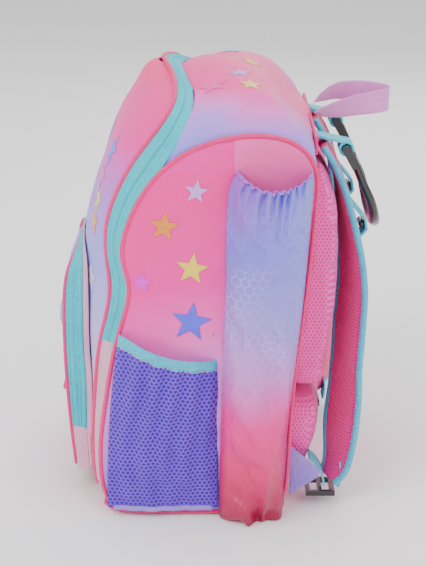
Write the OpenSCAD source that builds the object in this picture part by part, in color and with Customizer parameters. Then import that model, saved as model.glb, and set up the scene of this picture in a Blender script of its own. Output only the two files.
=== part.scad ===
// School backpack with a leaning front panel, a zipped front pocket and side pockets.
// Millimetres. X is the width, -Y the front pocket, +Y the wearer's back, Z up.
// The origin is the centre of the base, on the surface that the bag stands on.

/* [Body] */
// Width of the bag over its two side panels
bag_w = 280; // [260:1:300]
// Thickness of a padded fabric panel
panel_t = 3; // [2:0.5:3.5]
// Radius of the piping in the seams
piping_r = 2.4; // [1.6:0.1:2.8]
// How far the front panel bulges past its edges at its fullest height
front_bulge = 38; // [20:1:40]

/* [Zips] */
// Thickness of the zip tape
tape_t = 1.2; // [0.8:0.1:1.6]
// Height of the zip teeth over the tape's underside
teeth_h = 2.2; // [1.6:0.1:2.6]
// Length of a slider's pull
pull_len = 26; // [18:1:30]

/* [Pockets] */
// How far a mesh pocket stands out at its mouth
mesh_depth = 17; // [10:1:22]
// How far a bottle pocket stands out
bottle_depth = 38; // [30:1:44]
// How far the front pocket's face bulges past its piping
pocket_bulge = 3; // [2:0.5:3]

/* [Straps] */
// Thickness of a shoulder strap
strap_t = 9; // [6:1:9]
// Width of the webbing
webbing_w = 22; // [18:1:25]
// Radius of the moulded grab handle
handle_r = 6; // [4:0.5:6]

/* [Hidden] */

side_x = bag_w / 2;
// Gap between the edge of a panel and the piping beside it
seam_gap = 0.4;
edge_gap = piping_r + seam_gap;
// Half width of the panels that run between the two side panels
inner_x = side_x - panel_t - 0.3;

// Edge curves of the main zip's band, from the lower front corner to the top centre.
// The first value is a share of the half width, the others are Y and Z.
FRONT_EDGE = [
    [0.80, -111, 16], [0.88, -113, 34], [0.90, -114, 70], [0.90, -112, 110],
    [0.90, -107, 160], [0.90, -98, 198], [0.90, -96, 222], [0.90, -99, 252],
    [0.90, -97, 278], [0.90, -88, 304], [0.885, -73, 331], [0.835, -52, 357],
    [0.72, -39, 376], [0.50, -38, 388], [0.25, -44, 396], [0, -51, 400]
];
REAR_EDGE = [
    [1, -90, 6], [1, -105, 26], [1, -107, 68], [1, -102, 108],
    [1, -93, 160], [1, -82, 197], [1, -78, 222], [1, -84, 247],
    [1, -81, 270], [1, -70, 297], [1, -52, 322], [0.95, -33, 352],
    [0.80, -23, 372], [0.57, -22, 382], [0.30, -28, 389], [0, -33, 392]
];
// How far the middle of the front panel stands out past each point of its edge
PANEL_BULGE = [4, 4, 4, 7, 19, 31, 32, 25, 21, 22, 27, 36, 38, 33, 20, 3];
// Point of the edge curves where the zip ends, and where the top gusset starts
zip_end = 4.15;
arch_start = 10;
centre = len(FRONT_EDGE) - 1;
zip_stop = 2 * centre - zip_end;

// Rear part of the side panel's outline, as Y and Z
SIDE_ARCH = [[-26, 342], [5, 353], [35, 356], [58, 352], [75, 341], [84, 322]];
BACK_LINE = [[83, 290], [80, 250], [75, 200], [69, 150], [65, 100], [63, 50], [60, 22]];
SIDE_BASE = [[46, 5.5], [0, 3.6], [-60, 3.6]];

// Middle and edge profiles of the top, front to back, as Y and Z
CROWN_MID = [[-33, 392], [-15, 396], [7, 398.5], [27, 396.5], [44, 387.5], [59, 373], [72, 360], [84, 350]];
CROWN_SIDE = [[-52, 322], [-26, 342], [5, 353], [35, 356], [58, 352], [75, 341], [84, 322], [84, 292]];
// Seam between the top and the back, beside each zip point from arch_start on
BACK_SEAM = [
    [1, 84, 292], [0.965, 84, 312], [0.82, 84, 330], [0.57, 84, 342], [0.29, 84, 348.5], [0, 84, 350]
];

// Rear face of the two back pads, as Y and Z
PAD_FACE = [
    [79, 30], [82, 44], [91, 86], [92, 103], [93, 109], [97, 159], [101, 193],
    [102, 229], [103, 262], [99, 295], [90, 326]
];
pad_split = 105;
pad_half_w = 114;

// Front pocket: the seam on the front panel, and the edge of its face
POCKET_SEAM = [
    [94, -117.5, 24], [95, -117.8, 60], [95, -116, 110], [95, -117.8, 150], [93, -117.6, 195],
    [87, -118.5, 225], [68, -122, 237], [34, -126, 241], [0, -127.3, 242]
];
POCKET_EDGE = [
    [84, -134, 19], [85, -138, 60], [85, -141, 110], [85, -142, 150], [84, -141.5, 190],
    [78, -138.5, 214], [62, -133.8, 225], [32, -131.4, 228], [0, -130.8, 228.5]
];
// Share of the pocket's bulge at each point of its edge
POCKET_SWELL = [0.4, 0.8, 1, 1, 1, 0.9, 0.7, 0.45, 0.3];
pocket_zip_end = 1.1;
pocket_centre = len(POCKET_EDGE) - 1;
pocket_zip_stop = 2 * pocket_centre - pocket_zip_end;

// Mouth line of a mesh pocket from front to back, as Y and Z
MESH_MOUTH = [[-88, 179], [-61, 167], [-34, 159], [0, 155]];
// Front edge of a bottle pocket from the bottom up, as Y and Z
BOTTLE_FRONT = [[1, 1], [2, 89], [6, 212], [8, 303], [17, 327]];
BOTTLE_REAR = [[55, 1], [60, 89], [71.5, 212], [79.5, 290], [79, 327]];
casing_h = 20;
mouth_sag = 12;

// Outer and inner edge of the right shoulder strap, from the top seam down
STRAP_OUT = [
    [86, 93, 333], [88, 103, 318], [92, 112.5, 296], [95, 119.5, 273], [97, 125.5, 249], [99, 129.5, 230],
    [101, 132.5, 200], [104, 131, 160], [107, 129, 130], [110, 129, 100], [114, 126, 66], [119, 119, 36]
];
STRAP_IN = [
    [30, 93, 333], [32, 102, 318], [36, 108.5, 298], [40, 111, 275], [44, 113, 250], [47, 114, 230],
    [50, 114, 200], [54, 111, 160], [58, 109.5, 130], [64, 107, 100], [75, 102.5, 68], [90, 102, 38]
];
strap_end = len(STRAP_OUT) - 1;
// Centre line of the webbing between a strap's end and its ladder lock, as Y and Z
STRAP_TAIL = [[113, 41], [114, 31], [113.5, 22], [112, 16]];
lock_x = 106;
lock_pivot = [106, 12];
lock_size = [31, 27, 5];
wing_x = 122;

// Right half of the grab handle's centre line, from its pivot to the middle of the grip
HANDLE_LINE = [[60, 124, 312], [58, 132, 293], [54, 140, 275], [46, 144, 260], [28, 146, 250], [0, 147, 246]];
handle_pivot = [60, 115, 328];
handle_pin_r = 4;

// Zip stretches that the sliders ride on: start and end of each straight run, left side
UPPER_RUN = [[-133, -88.5, 231], [-133, -90.8, 262]];
LOWER_RUN = [[-133, -91.6, 192], [-133, -98.5, 172]];
POCKET_RUN = [[-88.9, -131.2, 86], [-88.7, -133, 176]];
main_turn = -52;
pocket_turn = -63;
slider_lift = 3.6;

$fn = 48;

// --- Curves -----------------------------------------------------------------

function unit(v) = v / norm(v);
function flip(p) = [-p[0], p[1], p[2]];
function whole(half) = concat(half, [for (i = [len(half) - 2:-1:0]) flip(half[i])]);
function spline(a, b, c, d, t) =
    0.5 * (2 * b + (c - a) * t + (2 * a - 5 * b + 4 * c - d) * t * t + (3 * b - a - 3 * c + d) * t * t * t);
// Point at s along an open list of points, where s counts the points
function along(pts, s) =
    let (last = len(pts) - 1, i = max(0, min(floor(s), last - 1)))
    spline(pts[max(i - 1, 0)], pts[i], pts[i + 1], pts[min(i + 2, last)], s - i);
// Point at s around a closed list of points
function around(pts, s) =
    let (n = len(pts), i = floor(s))
    spline(pts[(i + n - 1) % n], pts[i % n], pts[(i + 1) % n], pts[(i + 2) % n], s - i);
function curve(pts, steps) = [for (k = [0:steps]) along(pts, (len(pts) - 1) * k / steps)];
// Point of a curve whose first value is a share of the half width
function lifted(p) = [p[0] * side_x, p[1], p[2]];

front_curve = whole([for (p = FRONT_EDGE) lifted(p)]);
rear_curve = whole([for (p = REAR_EDGE) lifted(p)]);
pocket_edge = whole(POCKET_EDGE);
pocket_seam = whole(POCKET_SEAM);

side_points = concat(
    [for (i = [1:arch_start]) [REAR_EDGE[i][1], REAR_EDGE[i][2]]], SIDE_ARCH, BACK_LINE, SIDE_BASE,
    [[REAR_EDGE[0][1], REAR_EDGE[0][2]]]
);
side_steps = 64;
side_loop = [for (k = [0:side_steps - 1]) around(side_points, len(side_points) * k / side_steps)];
// The same loop moved inwards by d
function inset(loop, d) =
    let (n = len(loop))
    [
        for (i = [0:n - 1]) let (t = unit(loop[(i + 1) % n] - loop[(i + n - 1) % n]))
            loop[i] + d * [t[1], -t[0]]
    ];

back_face = concat([[84, 350], [84, 322]], BACK_LINE);

// --- Solids from rings and grids --------------------------------------------

// Solid through a list of rings that all have the same number of points
module loft(rings, loop = false) {
    n = len(rings);
    m = len(rings[0]);
    sides = [
        for (i = [0:n - (loop ? 1 : 2)]) for (j = [0:m - 1])
            [i * m + j, i * m + (j + 1) % m, ((i + 1) % n) * m + (j + 1) % m, ((i + 1) % n) * m + j]
    ];
    caps = [[for (j = [m - 1:-1:0]) j], [for (j = [0:m - 1]) (n - 1) * m + j]];
    polyhedron(points = [for (r = rings) each r], faces = loop ? sides : concat(sides, caps), convexity = 10);
}

// Solid between an outer and an inner grid of the same size
module sheet(outer, inner) {
    n = len(outer);
    m = len(outer[0]);
    k = n * m;
    skins = [
        for (i = [0:n - 2]) for (j = [0:m - 2]) let (p = i * m + j)
            each [[p, p + 1, p + m + 1, p + m], [k + p, k + p + m, k + p + m + 1, k + p + 1]]
    ];
    ends = [
        for (j = [0:m - 2]) let (q = (n - 1) * m + j)
            each [[k + j, k + j + 1, j + 1, j], [q, q + 1, k + q + 1, k + q]]
    ];
    rims = [
        for (i = [0:n - 2]) let (p = i * m, q = i * m + m - 1)
            each [[p, p + m, k + p + m, k + p], [k + q, k + q + m, q + m, q]]
    ];
    polyhedron(points = concat([for (r = outer) each r], [for (r = inner) each r]),
        faces = concat(skins, ends, rims), convexity = 10);
}

// Round cord along a list of points; side is a direction the path never takes
module cord(path, r, side, loop = false, sides = 8) {
    n = len(path);
    loft([
        for (i = [0:n - 1])
            let (a = path[loop ? (i + n - 1) % n : max(i - 1, 0)],
                 b = path[loop ? (i + 1) % n : min(i + 1, n - 1)],
                 t = unit(b - a), u = unit(cross(t, side)), v = cross(t, u))
            [for (k = [0:sides - 1]) path[i] + r * (cos(360 * k / sides) * u - sin(360 * k / sides) * v)]
    ], loop);
}

// Normal of the strip between two edge curves, at s
function strip_normal(a, b, s) =
    let (e = 0.05, t = along(a, s + e) - along(a, s - e) + along(b, s + e) - along(b, s - e))
    unit(cross(along(b, s) - along(a, s), t));

// Strip between the edge curves a and b, over the shares f0 to f1 of its width,
// from s0 to s1 along it, and between the heights h0 and h1 over its middle face
module strip(a, b, f0, f1, s0, s1, h0, h1, steps) {
    loft([
        for (k = [0:steps])
            let (s = s0 + (s1 - s0) * k / steps, p = along(a, s), w = along(b, s) - p,
                 n = strip_normal(a, b, s))
            [p + f0 * w + h0 * n, p + f1 * w + h0 * n, p + f1 * w + h1 * n, p + f0 * w + h1 * n]
    ]);
}

module both_sides() {
    children();
    mirror([1, 0, 0]) children();
}

// Polygon given in Y and Z, with its thickness along X from x0
module slab(points, x0, t) {
    translate([x0, 0, 0]) rotate([90, 0, 90]) linear_extrude(t) polygon(points);
}

// --- Bag body -----------------------------------------------------------------

module side_panel() {
    color("hotpink") slab(inset(side_loop, edge_gap), side_x - panel_t, panel_t);
}

module side_panel_right() { side_panel(); }
module side_panel_left() { mirror([1, 0, 0]) side_panel(); }

// Point of the top at zip point s and share v from front to back
function crown(s, v) =
    let (f = along(front_curve, s), r = along(rear_curve, s), front = f + 0.89 * (r - f),
         seam = along(BACK_SEAM, s - arch_start), back = [seam[0] * side_x, seam[1], seam[2]],
         share = pow(abs(r[0]) / side_x, 2.4), k = v * (len(CROWN_MID) - 1),
         mix = along(CROWN_MID, k) * (1 - share) + along(CROWN_SIDE, k) * share,
         mix0 = CROWN_MID[0] * (1 - share) + CROWN_SIDE[0] * share,
         mix1 = CROWN_MID[len(CROWN_MID) - 1] * (1 - share) + CROWN_SIDE[len(CROWN_SIDE) - 1] * share,
         fix = pow(1 - v, 2) * ([front[1], front[2]] - mix0) + pow(v, 3) * ([back[1], back[2]] - mix1),
         widest = side_x - edge_gap - 3 * (s - arch_start),
         x = min(front[0] + (back[0] - front[0]) * v, widest))
    [x, mix[0] + fix[0], mix[1] + fix[1]];

crown_rows = 18;
crown_cols = 12;
function crown_row(v) =
    let (half = [for (j = [0:crown_cols]) crown(arch_start + (centre - arch_start) * j / crown_cols, v)])
    whole(half);

module top_gusset() {
    outer = [for (i = [0:crown_rows]) crown_row(i / crown_rows)];
    // The inner face is drawn in towards the middle of the bag
    mid = [0, 20, 300];
    inner = [for (row = outer) [for (p = row) p + panel_t * unit([0, mid[1] - p[1], mid[2] - p[2]])]];
    color("orchid") sheet(outer, inner);
}

base_line = [[-106, 9], [-99, 3.5], [-90, 0.6], [-84, 0], [54, 0], [58, 2], [60.5, 8], [61, 20]];
module base_panel() {
    n = len(base_line);
    inner = [
        for (i = [n - 1:-1:0])
            let (t = unit(base_line[min(i + 1, n - 1)] - base_line[max(i - 1, 0)]))
                base_line[i] + panel_t * [-t[1], t[0]]
    ];
    color("deeppink") slab(concat(base_line, inner), -inner_x, 2 * inner_x);
}

module base_board() {
    board = [-78, 48, 2];
    color("dimgray") translate([-inner_x + 4, board[0], panel_t + 1])
        cube([2 * inner_x - 8, board[1] - board[0], board[2]]);
}

// Outline of the back in X and Z, as an extrusion along Y. It ends below the sloping rim of the top.
seam_lap = 1.9;
module back_outline(gap) {
    half = concat(
        [[inner_x - gap, 24 + gap], [inner_x - gap, 284]],
        [
            for (s = [0.4:0.4:5]) let (p = along(BACK_SEAM, s))
                [min(p[0] * side_x, side_x - edge_gap - 3 * s) - gap * p[0], p[2] - gap - seam_lap]
        ]
    );
    outline = concat(half, [for (i = [len(half) - 1:-1:0]) [-half[i][0], half[i][1]]]);
    translate([0, 150, 0]) rotate([90, 0, 0]) linear_extrude(150) polygon(outline);
}

module back_sheet(out, t) {
    n = len(back_face);
    slab(
        concat([for (p = back_face) p + [out, 0]], [for (i = [n - 1:-1:0]) back_face[i] + [out - t, 0]]),
        -inner_x, 2 * inner_x
    );
}

module back_panel() {
    color("hotpink") intersection() {
        back_sheet(0, panel_t);
        back_outline(0.5);
    }
}

module back_stiffener() {
    stiffener_t = 1.6;
    color("white") intersection() {
        back_sheet(-panel_t - 0.3, stiffener_t);
        back_outline(10);
    }
}

// Rounded rectangle in X and Z, as an extrusion along Y
module rounded_block(half_w, z0, z1, r) {
    translate([0, 150, 0]) rotate([90, 0, 0]) linear_extrude(150) {
        translate([-half_w, z0 + r]) square([2 * half_w, z1 - z0 - 2 * r]);
        translate([-half_w + r, z0]) square([2 * (half_w - r), z1 - z0]);
        for (x = [-half_w + r, half_w - r]) for (z = [z0 + r, z1 - r]) translate([x, z]) circle(r);
    }
}

module back_pad(z0, z1) {
    outer = curve(PAD_FACE, 30);
    inner = [for (p = back_face) p + [0.4, 0]];
    intersection() {
        slab(concat(inner, [[79, 22]], outer), -pad_half_w, 2 * pad_half_w);
        rounded_block(pad_half_w, z0, z1, 22);
    }
}

module back_pad_upper() { color("pink") back_pad(pad_split + 3, 326); }
module back_pad_lower() { color("pink") back_pad(30, pad_split - 3); }

module side_piping() {
    color("deeppink") cord([for (p = side_loop) [side_x, p[0], p[1]]], piping_r, [1, 0, 0], loop = true);
}

module side_piping_right() { side_piping(); }
module side_piping_left() { mirror([1, 0, 0]) side_piping(); }

module main_zip_tape_rear() {
    color("turquoise") strip(front_curve, rear_curve, 0.57, 0.85, zip_end, zip_stop, -tape_t, 0, 84);
}

module main_zip_teeth_rear() {
    color("teal")
        strip(front_curve, rear_curve, 0.512, 0.562, zip_end, zip_stop, -tape_t, teeth_h - tape_t, 84);
}

module corner_gusset() {
    color("pink") strip(front_curve, rear_curve, 0.16, 0.85, 0.1, zip_end - 0.1, -tape_t, 0, 18);
}

module corner_gusset_right() { corner_gusset(); }
module corner_gusset_left() { mirror([1, 0, 0]) corner_gusset(); }

// --- Side pockets ---------------------------------------------------------------

mesh_rear = -0.6;
mesh_floor = 17;
function mesh_mouth(u) = along(MESH_MOUTH, 3 * u);
// Point of a mesh pocket at share u from front to back and v from floor to mouth
function mesh_point(u, v, out) =
    let (m = mesh_mouth(u), z = mesh_floor + v * (m[1] - mesh_floor),
         front = -98.5 + 14.2 * v * v, y = front + u * (mesh_rear - front),
         swell = mesh_depth * pow(sin(180 * u), 0.75) * pow(sin(90 * v), 0.6))
    [side_x + 0.4 + out + swell, y, z];

module mesh_wall(v0, v1, t, rows) {
    cols = 16;
    outer = [for (i = [0:rows]) [for (j = [cols:-1:0]) mesh_point(j / cols, v0 + (v1 - v0) * i / rows, t)]];
    inner = [for (i = [0:rows]) [for (j = [cols:-1:0]) mesh_point(j / cols, v0 + (v1 - v0) * i / rows, 0)]];
    sheet(outer, inner);
}

module mesh_pocket_right() { color("mediumpurple") mesh_wall(0, 0.935, 1.6, 10); }
module mesh_pocket_left() { mirror([1, 0, 0]) mesh_pocket_right(); }
module mesh_binding_right() { color("turquoise") mesh_wall(0.94, 1, 2.4, 2); }
module mesh_binding_left() { mirror([1, 0, 0]) mesh_binding_right(); }

function piping_lap(z) = (piping_r + 0.2) * max(0, min(1, (26 - z) / 6));
// Point of a bottle pocket at share u from front to back and v from floor to mouth
function bottle_point(u, v, out) =
    let (f = along(BOTTLE_FRONT, 4 * v), r = along(BOTTLE_REAR, 4 * v),
         z = f[1] - mouth_sag * pow(v, 6) * sin(180 * u), grow = 0.72 + 0.28 * sin(90 * min(1, 4 * v)),
         swell = bottle_depth * grow * pow(sin(180 * u), 0.55), thick = out * sin(180 * (0.15 + 0.7 * u)))
    // Low down it stands off the side panel, over the piping
    [side_x + 0.4 + piping_lap(z) + swell + thick, f[0] + u * (r[0] - f[0]), z];

casing_v = 1 - casing_h / 96;
bottle_cols = 16;
bottle_rows = 14;
function bottle_row(v, out) = [for (j = [bottle_cols:-1:0]) bottle_point(j / bottle_cols, v, out)];
function bottle_grid(v0, v1, out, rows) = [for (i = [0:rows]) bottle_row(v0 + (v1 - v0) * i / rows, out)];

// The wall, and a floor that runs in from its lower edge to the side panel
module bottle_pocket_right() {
    wall_t = 1.8;
    floor_t = 2;
    function floor_row(z) = [for (p = bottle_row(0, 0)) [side_x + 0.3 + piping_lap(z), p[1], z]];
    low = BOTTLE_FRONT[0][1];
    outer = concat([floor_row(low)], bottle_grid(0, casing_v, wall_t, bottle_rows));
    above = [for (p = bottle_row(0, 0)) p + [0, 0, floor_t]];
    wall = bottle_grid(0, casing_v, 0, bottle_rows);
    inner = concat([floor_row(low + floor_t), above], [for (i = [1:bottle_rows]) wall[i]]);
    color("violet") sheet(outer, inner);
}

module bottle_pocket_left() { mirror([1, 0, 0]) bottle_pocket_right(); }
module bottle_casing_right() {
    low_v = casing_v + 0.002;
    color("mediumpurple") sheet(bottle_grid(low_v, 1, 4, 3), bottle_grid(low_v, 1, 0, 3));
}
module bottle_casing_left() { mirror([1, 0, 0]) bottle_casing_right(); }

// --- Back hardware ----------------------------------------------------------------

patch = [84.4, 87.4, 329, 346];
module strap_anchor_patch() {
    color("deeppink") translate([-98, patch[0], patch[2]])
        cube([196, patch[1] - patch[0], patch[3] - patch[2]]);
}

// Webbing loop that holds one end of the grab handle
module handle_chape_right() {
    ring_r = handle_pin_r + 3;
    width = 20;
    start = [87.6, 340];
    run = [handle_pivot[1], handle_pivot[2] + ring_r - 1.2] - start;
    color("turquoise") translate([handle_pivot[0] - width / 2, 0, 0]) rotate([90, 0, 90]) linear_extrude(width)
        difference() {
            union() {
                translate([handle_pivot[1], handle_pivot[2]]) circle(ring_r);
                translate(start) rotate(atan2(run[1], run[0])) translate([0, -1.6]) square([norm(run), 2.8]);
            }
            translate([handle_pivot[1], handle_pivot[2]]) circle(handle_pin_r + 0.5);
        }
}

module handle_chape_left() { mirror([1, 0, 0]) handle_chape_right(); }

module wing_right() {
    color("mediumpurple") slab([[66, 62], [95, 36], [92, 30], [66, 12]], wing_x, 3);
}

module wing_left() { mirror([1, 0, 0]) wing_right(); }

// Strip of webbing along a list of Y and Z points
module webbing(path, x, t) {
    pts = curve(path, 12);
    n = len(pts);
    loft([
        for (i = [0:n - 1])
            let (d = unit(pts[min(i + 1, n - 1)] - pts[max(i - 1, 0)]), h = t / 2 * [d[1], -d[0]],
                 a = pts[i] + h, b = pts[i] - h, l = x - webbing_w / 2, r = x + webbing_w / 2)
            [[l, a[0], a[1]], [r, a[0], a[1]], [r, b[0], b[1]], [l, b[0], b[1]]]
    ]);
}

module lower_webbing_right() {
    color("turquoise") webbing([[84, 47], [92, 39], [97, 28], [98, 19]], wing_x - 1 - webbing_w / 2, 1.8);
}

module lower_webbing_left() { mirror([1, 0, 0]) lower_webbing_right(); }

HANG_LINE = [[85, 354], [114, 366], [142, 370], [156, 363], [146, 352], [114, 349], [85, 351]];
module hang_loop() {
    ribbon_t = 1;
    width = 24;
    outer = curve(HANG_LINE, 30);
    inner = [
        for (i = [0:len(outer) - 1])
            let (t = unit(outer[min(i + 1, len(outer) - 1)] - outer[max(i - 1, 0)]))
            outer[i] + ribbon_t * [t[1], -t[0]]
    ];
    color("plum") slab(concat(outer, [for (i = [len(inner) - 1:-1:0]) inner[i]]), -width / 2, width);
}

// --- Front panel --------------------------------------------------------------------

// Padded face inside an edge curve; bulges[i] is how far its middle stands out past edge point i
module face(edge, bulges, s0, s1, t, rows, cols) {
    function face_row(s) =
        let (e = along(edge, s), d = along(edge, s + 0.05) - along(edge, s - 0.05), t = unit([d[0], d[2]]),
             gap = edge_gap * 1.1, x = e[0] - gap * t[1], z = e[2] + gap * t[0])
        [
            for (j = [0:cols]) let (u = -1 + 2 * j / cols)
                [-u * x, e[1] - along(bulges, s) * pow(1 - u * u, 0.7), z]
        ];
    outer = [for (i = [0:rows]) face_row(s0 + (s1 - s0) * i / rows)];
    inner = [for (row = outer) [for (p = row) p + [0, t, 0]]];
    sheet(outer, inner);
}

module front_panel() {
    bulges = front_bulge / max(PANEL_BULGE) * PANEL_BULGE;
    color("violet") face(front_curve, bulges, 0.2, centre - 0.35, panel_t, 34, 20);
}

module front_piping() {
    path = [for (k = [0:72]) along(front_curve, 2 * centre * k / 72)];
    color("deeppink") cord(path, piping_r, [0, 1, 0], loop = true);
}

module main_zip_tape_front() {
    color("turquoise") strip(front_curve, rear_curve, 0.16, 0.43, zip_end, zip_stop, -tape_t, 0, 84);
}

module main_zip_teeth_front() {
    color("teal")
        strip(front_curve, rear_curve, 0.438, 0.488, zip_end, zip_stop, -tape_t, teeth_h - tape_t, 84);
}

// --- Front pocket --------------------------------------------------------------------

// Strip all round the pocket behind its zip, wider at the closed ends below the zip
module pocket_gusset() {
    low_end = pocket_zip_end - 0.06;
    high_end = 2 * pocket_centre - low_end;
    stops = concat(
        [for (k = [0:6]) low_end * k / 6],
        [for (k = [0:48]) low_end + 0.01 + (high_end - low_end - 0.02) * k / 48],
        [for (k = [0:6]) high_end + low_end * k / 6]
    );
    color("palevioletred") loft([
        for (s = stops)
            let (p = along(pocket_edge, s), w = along(pocket_seam, s) - p,
                 n = strip_normal(pocket_edge, pocket_seam, s),
                 f = (s <= low_end || s >= high_end) ? 0.14 : 0.72, h = -tape_t * n)
            [p + f * w + h, p + 0.97 * w + h, p + 0.97 * w, p + f * w]
    ]);
}

module pocket_zip_tape_rear() {
    color("turquoise")
        strip(pocket_edge, pocket_seam, 0.45, 0.70, pocket_zip_end, pocket_zip_stop, -tape_t, 0, 56);
}

module pocket_zip_teeth_rear() {
    color("teal")
        strip(pocket_edge, pocket_seam, 0.40, 0.44, pocket_zip_end, pocket_zip_stop,
            -tape_t, teeth_h - tape_t, 56);
}

module pocket_face() {
    color("orchid")
        face(pocket_edge, pocket_bulge * POCKET_SWELL, 0.14, pocket_centre - 0.12, panel_t - 0.5, 22, 16);
}

module pocket_piping() {
    path = [for (k = [0:48]) along(pocket_edge, 2 * pocket_centre * k / 48)];
    color("deeppink") cord(path, piping_r - 0.4, [0, 1, 0], loop = true);
}

module pocket_zip_tape_front() {
    color("turquoise")
        strip(pocket_edge, pocket_seam, 0.14, 0.32, pocket_zip_end, pocket_zip_stop, -tape_t, 0, 56);
}

module pocket_zip_teeth_front() {
    color("teal")
        strip(pocket_edge, pocket_seam, 0.33, 0.37, pocket_zip_end, pocket_zip_stop,
            -tape_t, teeth_h - tape_t, 56);
}

// Padded star sewn to the middle of the pocket
module pocket_star() {
    star_r = 24;
    star_t = 9;
    radii = [star_r, star_r * 0.5];
    points = [for (i = [0:9]) radii[i % 2] * [sin(36 * i), cos(36 * i)]];
    color("gold") translate([0, -145.6, 148]) rotate([90, 0, 0]) linear_extrude(star_t) polygon(points);
}

module pocket_trim() {
    path = [for (k = [0:16]) [-56 + 7 * k, -148 + 2.5 * pow(k / 8 - 1, 2), 92 - 10 * sin(180 * k / 16)]];
    color("hotpink") cord(path, 3, [0, 1, 0]);
}

// --- Sliders and pulls -----------------------------------------------------------------

// Puts a slider drawn with +Z along the zip and -Y outwards at the start of a run
module on_run(run, turn) {
    d = unit(run[1][2] > run[0][2] ? run[1] - run[0] : run[0] - run[1]);
    translate(run[0]) rotate([-atan2(d[1], d[2]), 0, 0])
        rotate([0, 0, turn]) translate([0, -slider_lift, 0]) children();
}

plate = [9, 2.4, 12];
bar_out = 5.0;
module slider() {
    color("turquoise") {
        translate([-plate[0] / 2, -plate[1], -plate[2] / 2]) cube(plate);
        for (x = [-3.2, 2]) translate([x, -bar_out - 1.2, -1.4]) cube([1.2, bar_out - 1, 2.8]);
        translate([-2.4, -bar_out, 0]) rotate([0, 90, 0]) cylinder(r = 0.9, h = 4.8, $fn = 24);
    }
}

module pull() {
    color("aquamarine") difference() {
        union() {
            translate([-1.6, -bar_out, 0]) rotate([0, 90, 0]) cylinder(r = 2.2, h = 3.2, $fn = 32);
            translate([-1.6, -bar_out - 0.9, -7]) cube([3.2, 1.8, 6]);
            translate([-2.4, -bar_out - 0.9, -pull_len]) cube([4.8, 1.8, pull_len - 6]);
        }
        translate([-5, -bar_out, 0]) rotate([0, 90, 0]) cylinder(r = 1.3, h = 10, $fn = 32);
    }
}

module main_slider_upper() { on_run(UPPER_RUN, main_turn) slider(); }
module main_pull_upper() { on_run(UPPER_RUN, main_turn) pull(); }
module main_slider_lower() { on_run(LOWER_RUN, main_turn) slider(); }
module main_pull_lower() { on_run(LOWER_RUN, main_turn) pull(); }
module pocket_slider() { on_run(POCKET_RUN, pocket_turn) slider(); }
module pocket_pull() { on_run(POCKET_RUN, pocket_turn) pull(); }

// --- Handle and straps ------------------------------------------------------------------

module grab_handle() {
    color("black") cord(curve(whole(HANDLE_LINE), 36), handle_r, [0, 0.6, 0.8], sides = 10);
}

// Square loop at each end of the handle: a round bar, two cheeks and the crosspiece that the grip grows from
module handle_end_loops() {
    half = 16;
    cheek = 3.5;
    reach = 19;
    lean = atan2(HANDLE_LINE[0][2] - handle_pivot[2], HANDLE_LINE[0][1] - handle_pivot[1]);
    color("black") both_sides() translate(handle_pivot) rotate([lean, 0, 0]) {
        translate([-half, 0, 0]) rotate([0, 90, 0]) cylinder(r = handle_pin_r, h = 2 * half);
        for (x = [-half, half - cheek]) translate([x, 0, -handle_pin_r]) cube([cheek, reach, 2 * handle_pin_r]);
        translate([-half, reach - 5, -handle_pin_r]) cube([2 * half, 5, 2 * handle_pin_r]);
    }
}

// Padded strap: a rounded strip between its outer and inner edge
module strap_pad_right() {
    color("deeppink") loft([
        for (k = [0:40])
            let (s = strap_end * k / 40, p = along(STRAP_OUT, s), w = along(STRAP_IN, s) - p,
                 n = strip_normal(STRAP_OUT, STRAP_IN, s) * strap_t / 2)
            [
                p, p + 0.07 * w - n, p + 0.5 * w - n, p + 0.93 * w - n,
                p + w, p + 0.93 * w + n, p + 0.5 * w + n, p + 0.07 * w + n
            ]
    ]);
}

module strap_pad_left() { mirror([1, 0, 0]) strap_pad_right(); }

module strap_webbing_right() {
    color("turquoise") webbing(STRAP_TAIL, lock_x, 1.8);
}

module strap_webbing_left() { mirror([1, 0, 0]) strap_webbing_right(); }

// Short webbing loop that stands up on the outer face of the strap
module strap_loop_right() {
    color("turquoise") translate([58, 0, 0]) rotate([90, 0, 90]) linear_extrude(webbing_w) difference() {
        polygon([[117, 286], [134, 265], [135.5, 255], [129, 248], [122.5, 249]]);
        polygon([[121.5, 277], [132, 264], [133, 256], [128.5, 251], [125.5, 252]]);
    }
}

module strap_loop_left() { mirror([1, 0, 0]) strap_loop_right(); }

// Adjuster with two slots, on the end of the strap
module ladder_lock_right() {
    slot = [24, 7];
    corner = [lock_x - lock_size[0] / 2, lock_pivot[0] - lock_size[1] + 2.5, lock_pivot[1] - lock_size[2] / 2];
    color("black") translate(corner)
        difference() {
            cube(lock_size);
            for (y = [4, 15]) translate([(lock_size[0] - slot[0]) / 2, y, -1])
                cube([slot[0], slot[1], lock_size[2] + 2]);
        }
}

module ladder_lock_left() { mirror([1, 0, 0]) ladder_lock_right(); }

side_panel_right();
side_panel_left();
top_gusset();
base_panel();
back_panel();
back_stiffener();
base_board();
back_pad_upper();
back_pad_lower();
side_piping_right();
side_piping_left();
main_zip_tape_rear();
main_zip_teeth_rear();
corner_gusset_right();
corner_gusset_left();
mesh_pocket_right();
mesh_pocket_left();
mesh_binding_right();
mesh_binding_left();
bottle_pocket_right();
bottle_pocket_left();
bottle_casing_right();
bottle_casing_left();
strap_anchor_patch();
handle_chape_right();
handle_chape_left();
wing_right();
wing_left();
lower_webbing_right();
lower_webbing_left();
hang_loop();
front_panel();
front_piping();
main_zip_tape_front();
main_zip_teeth_front();
pocket_gusset();
pocket_zip_tape_rear();
pocket_zip_teeth_rear();
pocket_face();
pocket_piping();
pocket_zip_tape_front();
pocket_zip_teeth_front();
pocket_star();
pocket_trim();
main_slider_upper();
main_pull_upper();
main_slider_lower();
main_pull_lower();
pocket_slider();
pocket_pull();
grab_handle();
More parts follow.
